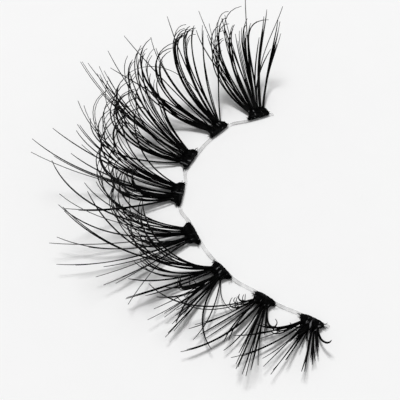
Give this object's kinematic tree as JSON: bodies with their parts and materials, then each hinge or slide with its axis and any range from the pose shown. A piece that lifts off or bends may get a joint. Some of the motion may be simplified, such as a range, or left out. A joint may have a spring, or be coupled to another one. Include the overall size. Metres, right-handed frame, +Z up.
{
  "type": "false eyelash strip",
  "caption": "False eyelash strip: clusters of black curled lashes fanning from root blocks along a clear C-shaped band.",
  "frame": {"origin": "middle of the strip's box on the surface that it stands on", "axes": "+Z up out of the surface, +Y from the short lower lashes' end to the end of cluster 1, +X towards the open side of the C"},
  "size_m": [0.025, 0.039, 0.0087],
  "materials": {
    "clear_band": "clear, slightly milky nylon tape",
    "lash_hair": "satin black synthetic hair with a soft sheen"
  },
  "bodies": {
    "root": {"clear_band": "clear_band", "lash_cluster_1": "lash_hair", "lash_cluster_2": "lash_hair", "lash_cluster_3": "lash_hair", "lash_cluster_4": "lash_hair", "lash_cluster_5": "lash_hair", "lash_cluster_6": "lash_hair", "lash_cluster_7": "lash_hair", "lash_cluster_8": "lash_hair"}
  },
  "joints": []
}
